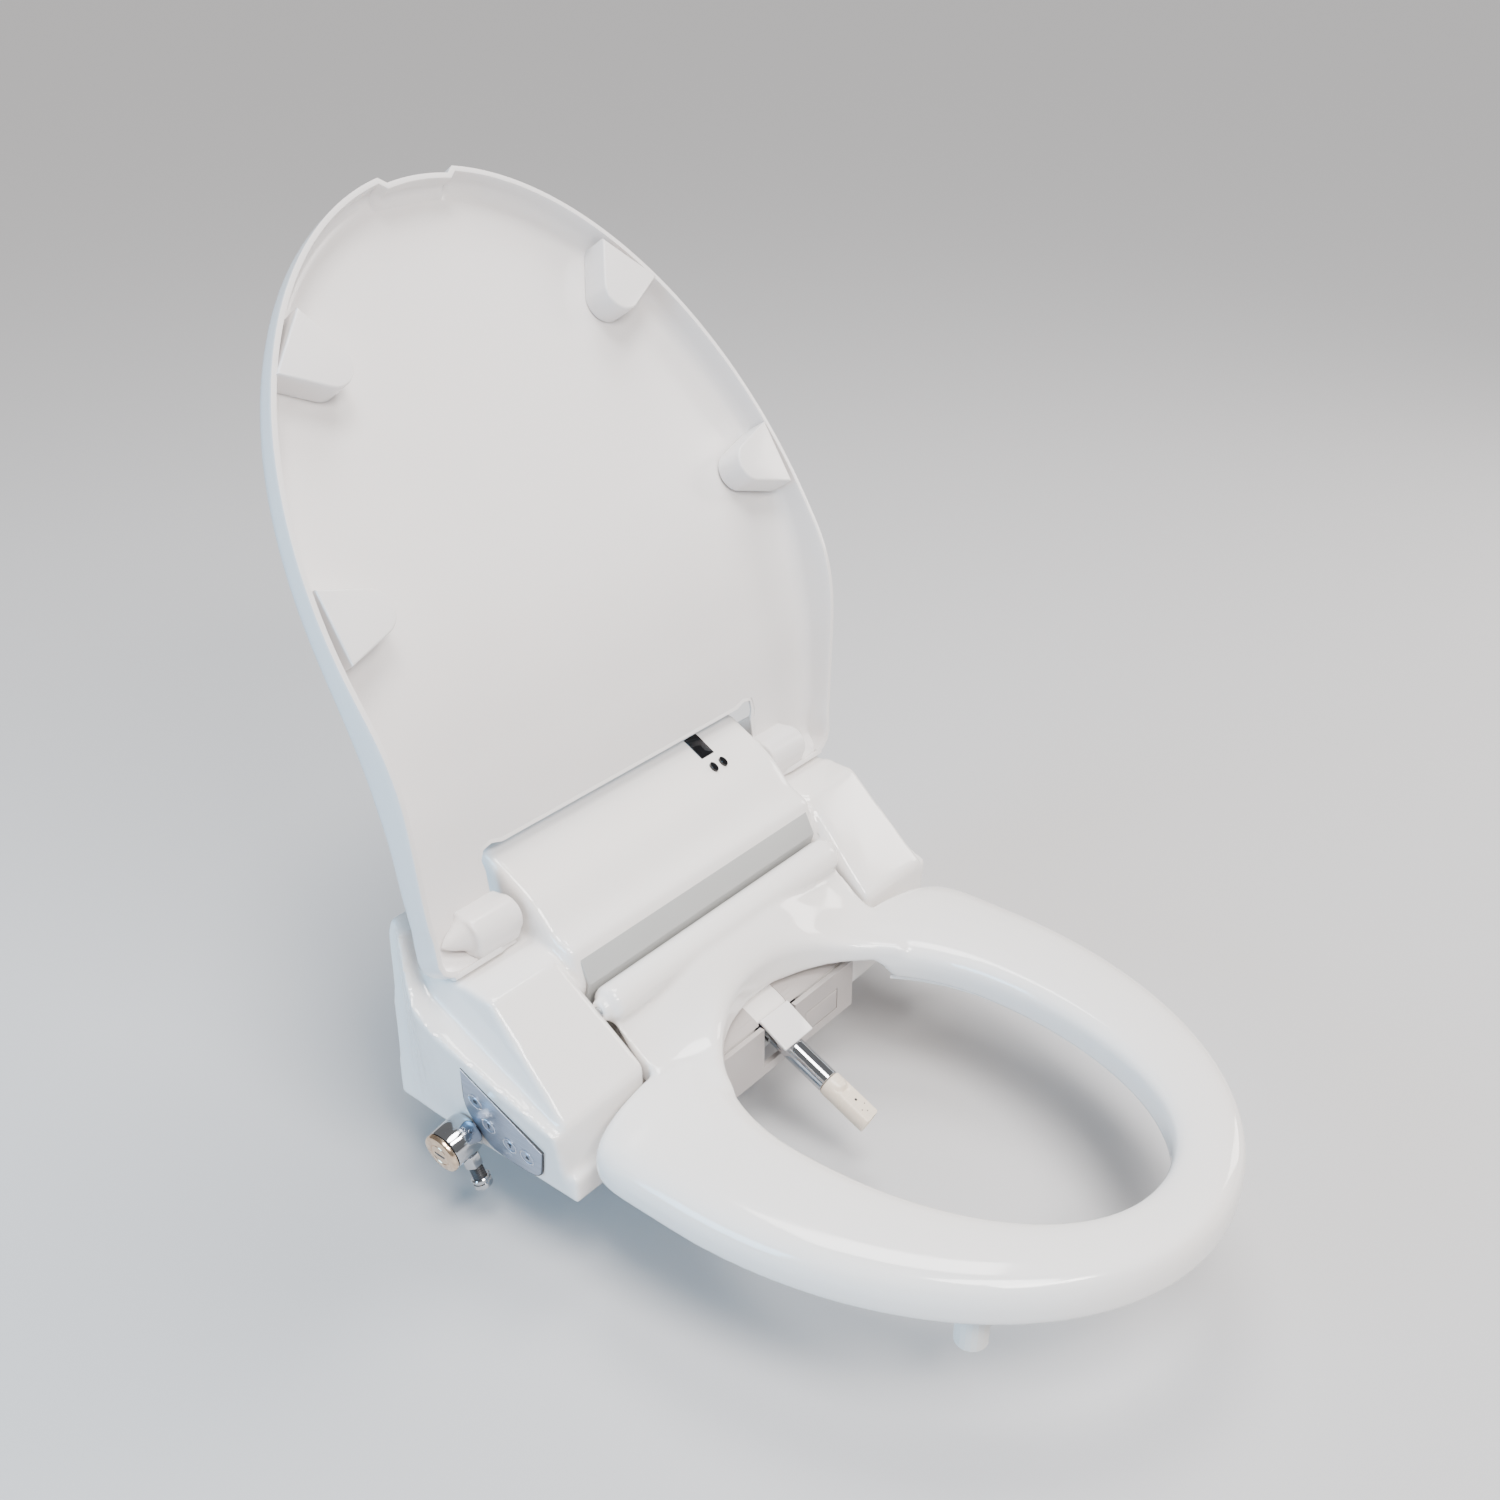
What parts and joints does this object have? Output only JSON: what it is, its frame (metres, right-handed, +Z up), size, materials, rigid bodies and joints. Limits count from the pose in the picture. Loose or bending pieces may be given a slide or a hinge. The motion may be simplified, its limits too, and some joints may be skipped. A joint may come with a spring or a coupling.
{
  "type": "electric bidet seat",
  "caption": "Electric bidet toilet seat with hinged lid and seat ring, extending wash nozzle, dryer outlet, side control strip and chrome water inlet valve.",
  "frame": {"origin": "on the underside of the mounting plate, midway between the two mounting bolts, in the plane of the bowl's rim", "axes": "+Z up, away from the bowl; the seat points along -Y; +X is the user's left hand when seated, and the control strip and water valve are on the -X side"},
  "size_m": [0.4296, 0.6304, 0.613],
  "materials": {
    "gloss_white": "high gloss moulded",
    "grey_plastic": "satin moulded",
    "splash_beige": "satin moulded, warm grey",
    "black_glass": "polished",
    "dark_plastic": "moulded",
    "steel": "brushed",
    "chrome": "mirror plated",
    "copper_face": "turned face, warm plated",
    "heater_copper": "foil",
    "soft_rubber": "soft matt",
    "nozzle_cream": "satin moulded, cream",
    "nylon_natural": "natural nylon",
    "board_green": "solder resist",
    "panel_blue": "brushed blue-grey"
  },
  "bodies": {
    "housing": {"inlet_tailpiece": "chrome", "inlet_valve_body": "chrome", "control_inlay": "panel_blue", "nozzle_motor": "steel", "nozzle_guide": "grey_plastic", "top_cover": "gloss_white", "base_tray": "gloss_white", "recess_panel": "grey_plastic", "splash_wall": "splash_beige", "display_window": "black_glass", "sensor_lens_left": "black_glass", "sensor_lens_right": "black_glass", "lid_pin_right": "steel", "lid_damper_right": "dark_plastic", "seat_pin_right": "steel", "lid_pin_left": "steel", "lid_damper_left": "dark_plastic", "seat_pin_left": "steel", "mounting_plate": "dark_plastic", "mounting_bolt_right": "steel", "bolt_bush_right": "soft_rubber", "bolt_nut_right": "dark_plastic", "mounting_bolt_left": "steel", "bolt_bush_left": "soft_rubber", "bolt_nut_left": "dark_plastic", "solenoid_valve": "dark_plastic", "inlet_pipe": "nylon_natural", "water_heater": "steel", "blower_housing": "dark_plastic", "blower_motor": "steel", "dryer_duct": "dark_plastic", "deodoriser_filter": "dark_plastic", "main_board": "board_green", "power_board": "board_green", "mains_gland": "soft_rubber"},
    "lid": {"lid_shell": "gloss_white", "lid_buffer_rear_right": "soft_rubber", "lid_buffer_rear_left": "soft_rubber", "lid_buffer_front_right": "soft_rubber", "lid_buffer_front_left": "soft_rubber"},
    "seat": {"seat_upper_shell": "gloss_white", "seat_heater": "heater_copper", "seat_lower_shell": "gloss_white", "seat_bumper_front_right": "soft_rubber", "seat_bumper_front_left": "soft_rubber", "seat_bumper_rear_right": "soft_rubber", "seat_bumper_rear_left": "soft_rubber"},
    "wand": {"nozzle_tube": "chrome", "nozzle_tip": "nozzle_cream", "nozzle_rack": "dark_plastic"},
    "gear": {"drive_gear": "nylon_natural"},
    "shutter": {"nozzle_shutter": "gloss_white"},
    "dryer_door": {"dryer_flap": "splash_beige"},
    "impeller": {"blower_impeller": "nylon_natural"},
    "valve_cap": {"strainer_cap": "copper_face"},
    "stop_button": {"button_stop": "panel_blue"},
    "wash_button": {"button_wash": "panel_blue"},
    "bidet_button": {"button_bidet": "panel_blue"},
    "dry_button": {"button_dry": "panel_blue"}
  },
  "joints": [
    {"name": "lid_hinge", "type": "hinge", "parent": "housing", "child": "lid", "pos_m": [0, -0.015, 0.137], "axis": [-1, 0, 0], "range_deg": [-123, 0]},
    {"name": "seat_hinge", "type": "hinge", "parent": "housing", "child": "seat", "pos_m": [0, -0.085, 0.0885], "axis": [-1, 0, 0], "range_deg": [0, 98]},
    {"name": "nozzle_slide", "type": "slide", "parent": "housing", "child": "wand", "axis": [0, -0.9135, -0.4067], "range_m": [-0.084, 0]},
    {"name": "gear_spin", "type": "hinge", "parent": "housing", "child": "gear", "pos_m": [0.0215, -0.05779, 0.0527], "axis": [0, -0.4067, 0.9135], "range_deg": [-603, 1]},
    {"name": "shutter_hinge", "type": "hinge", "parent": "housing", "child": "shutter", "pos_m": [0, -0.128, 0.036], "axis": [-1, 0, 0], "range_deg": [0, 18]},
    {"name": "dryer_hinge", "type": "hinge", "parent": "housing", "child": "dryer_door", "pos_m": [0, -0.1328, 0.018], "axis": [-1, 0, 0], "range_deg": [0, 55]},
    {"name": "impeller_spin", "type": "hinge", "parent": "housing", "child": "impeller", "pos_m": [0.096, -0.014, 0.058], "axis": [1, 0, 0], "continuous": true},
    {"name": "cap_turn", "type": "hinge", "parent": "housing", "child": "valve_cap", "pos_m": [-0.2173, -0.036, 0.01165], "axis": [-0.9863, 0, -0.165], "continuous": true},
    {"name": "stop_press", "type": "slide", "parent": "housing", "child": "stop_button", "axis": [0.9863, 0, 0.165], "range_m": [0, 0.0008], "stiffness_N_per_m": 500},
    {"name": "wash_press", "type": "slide", "parent": "housing", "child": "wash_button", "axis": [0.9863, 0, 0.165], "range_m": [0, 0.0008], "stiffness_N_per_m": 500},
    {"name": "bidet_press", "type": "slide", "parent": "housing", "child": "bidet_button", "axis": [0.9863, 0, 0.165], "range_m": [0, 0.0008], "stiffness_N_per_m": 500},
    {"name": "dry_press", "type": "slide", "parent": "housing", "child": "dry_button", "axis": [0.9863, 0, 0.165], "range_m": [0, 0.0008], "stiffness_N_per_m": 500}
  ],
  "couplings": [
    {"joint": "gear_spin", "follows": "nozzle_slide", "rad_per_m": 125}
  ]
}
